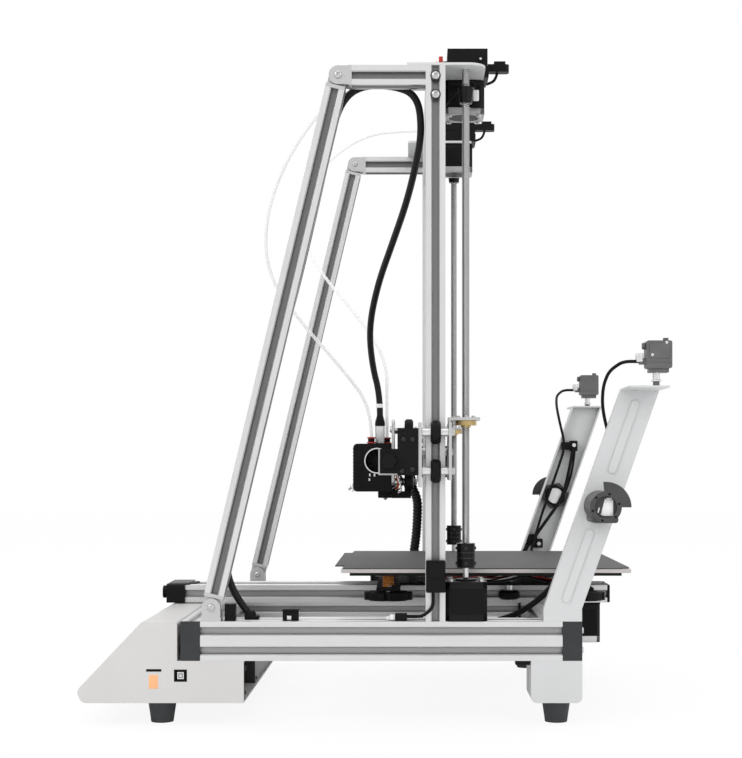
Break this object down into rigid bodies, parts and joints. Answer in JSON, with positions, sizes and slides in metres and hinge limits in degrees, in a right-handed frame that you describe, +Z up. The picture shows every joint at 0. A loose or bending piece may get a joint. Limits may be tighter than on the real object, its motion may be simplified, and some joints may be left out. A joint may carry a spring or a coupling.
{
  "type": "fdm printer",
  "caption": "Desktop FDM 3D printer: slotted extrusion frame with braced portal, moving heated bed, lifting X gantry, Bowden extruders and side spool arms on a sloped control box",
  "frame": {"origin": "on the table under the middle of the machine's bounding box", "axes": "+X the printer's right side, -Y its front with the control box, +Z up"},
  "size_m": [0.5981, 0.5935, 0.7045],
  "materials": {
    "extrusion": "silver anodised, satin",
    "caps": "dark grey moulded end caps",
    "sheet_metal": "light grey powder coat",
    "black_plastic": "black moulded plastic",
    "motor": "black stepper motor",
    "steel": "bright steel",
    "brass": "turned brass",
    "aluminium": "machined aluminium",
    "rubber": "black rubber",
    "wheel": "black polymer wheel",
    "print_surface": "textured black print sheet",
    "screen": "black glass panel in a grey bezel",
    "ptfe": "milky PTFE tube",
    "cable": "black cable jacket",
    "spring": "yellow die spring"
  },
  "bodies": {
    "frame": {"base_frame": "extrusion", "beam_end_caps": "caps", "feet": "rubber", "rear_risers": "sheet_metal", "uprights": "extrusion", "top_beam": "extrusion", "braces": "extrusion", "brace_pivots": "aluminium", "top_plates": "sheet_metal", "control_box": "sheet_metal", "power_supply": "aluminium", "touch_screen": "screen", "box_ports": "black_plastic", "y_rail": "extrusion", "y_tensioner": "black_plastic", "y_belt": "rubber", "stepper_motors": "motor", "extruder_bodies": "black_plastic", "spool_arms": "sheet_metal", "spool_hubs": "black_plastic", "filament_sensors": "black_plastic", "z_endstop": "black_plastic", "cable_clips": "black_plastic", "frame_cables": "cable", "head_loom": "cable", "tube_right": "ptfe", "tube_left": "ptfe", "gantry_conduit": "cable"},
    "z_gantry": {"gantry_plates": "sheet_metal", "lead_nuts": "brass", "x_rail": "extrusion", "x_end_covers": "black_plastic", "x_motor": "motor", "x_belt": "rubber", "z_wheels": "wheel"},
    "print_head": {"head_plate": "sheet_metal", "head_shroud": "sheet_metal", "hot_ends": "aluminium", "x_wheels": "wheel"},
    "bed": {"bed_carriage": "sheet_metal", "heated_bed": "aluminium", "print_sheet": "print_surface", "bed_springs": "spring", "y_wheels": "wheel"},
    "screw_right": {"lead_screw_right": "steel", "screw_fittings_right": "aluminium"},
    "screw_left": {"lead_screw_left": "steel", "screw_fittings_left": "aluminium"},
    "x_pulley": {"x_pulley": "aluminium"},
    "y_pulley": {"y_pulley": "aluminium"},
    "x_tension_knob": {"x_tension_knob": "black_plastic"},
    "y_tension_knob": {"y_tension_knob": "black_plastic"},
    "head_fan": {"head_fan": "black_plastic"},
    "lever_right": {"extruder_lever_right": "aluminium"},
    "lever_left": {"extruder_lever_left": "aluminium"},
    "rocker": {"rocker_switch": "black_plastic"},
    "level_knob_1": {"level_knob_1": "black_plastic"},
    "level_knob_2": {"level_knob_2": "black_plastic"},
    "level_knob_3": {"level_knob_3": "black_plastic"},
    "level_knob_4": {"level_knob_4": "black_plastic"}
  },
  "joints": [
    {"name": "z_lift", "type": "slide", "parent": "frame", "child": "z_gantry", "axis": [0, 0, 1], "range_m": [-0.0685, 0.318], "deforming": ["tube_right", "tube_left", "head_loom", "gantry_conduit"]},
    {"name": "x_travel", "type": "slide", "parent": "z_gantry", "child": "print_head", "axis": [1, 0, 0], "range_m": [-0.13, 0.18]},
    {"name": "y_travel", "type": "slide", "parent": "frame", "child": "bed", "axis": [0, 1, 0], "range_m": [-0.255, 0.045]},
    {"name": "screw_right_spin", "type": "hinge", "parent": "frame", "child": "screw_right", "pos_m": [0.215, 0.0984, 0.4], "axis": [0, 0, 1], "range_deg": [-14311, 3083.5]},
    {"name": "screw_left_spin", "type": "hinge", "parent": "frame", "child": "screw_left", "pos_m": [-0.215, 0.0984, 0.4], "axis": [0, 0, 1], "range_deg": [-14311, 3083.5]},
    {"name": "x_pulley_spin", "type": "hinge", "parent": "z_gantry", "child": "x_pulley", "pos_m": [-0.281, 0.0255, 0.2693], "axis": [0, 1, 0], "range_deg": [-1171, 1621]},
    {"name": "y_pulley_spin", "type": "hinge", "parent": "frame", "child": "y_pulley", "pos_m": [0, 0.2403, 0.117], "axis": [0, 0, 1], "range_deg": [-2296, 406]},
    {"name": "head_fan_spin", "type": "hinge", "parent": "print_head", "child": "head_fan", "pos_m": [0.002, 0.0025, 0.27], "axis": [1, 0, 0], "continuous": true},
    {"name": "extruder_lever_right_press", "type": "hinge", "parent": "frame", "child": "lever_right", "pos_m": [0.13985, 0.08655, 0.6923], "axis": [0, 0, 1], "range_deg": [0, 12], "stiffness_Nm_per_rad": 1.5, "springref_deg": -8.59},
    {"name": "extruder_lever_left_press", "type": "hinge", "parent": "frame", "child": "lever_left", "pos_m": [-0.13985, 0.08655, 0.6923], "axis": [0, 0, 1], "range_deg": [-12, 0], "stiffness_Nm_per_rad": 1.5, "springref_deg": 8.59},
    {"name": "x_tension_knob_turn", "type": "hinge", "parent": "z_gantry", "child": "x_tension_knob", "pos_m": [0.256, 0.0198, 0.2693], "axis": [1, 0, 0], "range_deg": [-720, 720]},
    {"name": "y_tension_knob_turn", "type": "hinge", "parent": "frame", "child": "y_tension_knob", "pos_m": [0, -0.24, 0.1165], "axis": [0, 1, 0], "range_deg": [-720, 720]},
    {"name": "rocker_switch_tilt", "type": "hinge", "parent": "frame", "child": "rocker", "pos_m": [-0.233, -0.1524, 0.0445], "axis": [0, 1, 0], "range_deg": [-12, 0]},
    {"name": "level_knob_1_turn", "type": "hinge", "parent": "bed", "child": "level_knob_1", "pos_m": [0.12, 0.2273, 0.1225], "axis": [0, 0, 1], "range_deg": [-720, 720]},
    {"name": "level_knob_2_turn", "type": "hinge", "parent": "bed", "child": "level_knob_2", "pos_m": [0.12, 0.0173, 0.1225], "axis": [0, 0, 1], "range_deg": [-720, 720]},
    {"name": "level_knob_3_turn", "type": "hinge", "parent": "bed", "child": "level_knob_3", "pos_m": [-0.12, 0.2273, 0.1225], "axis": [0, 0, 1], "range_deg": [-720, 720]},
    {"name": "level_knob_4_turn", "type": "hinge", "parent": "bed", "child": "level_knob_4", "pos_m": [-0.12, 0.0173, 0.1225], "axis": [0, 0, 1], "range_deg": [-720, 720]}
  ],
  "couplings": [
    {"joint": "screw_right_spin", "follows": "z_lift", "rad_per_m": -785.4},
    {"joint": "screw_left_spin", "follows": "z_lift", "rad_per_m": -785.4},
    {"joint": "x_pulley_spin", "follows": "x_travel", "rad_per_m": 157.08},
    {"joint": "y_pulley_spin", "follows": "y_travel", "rad_per_m": 157.08}
  ]
}
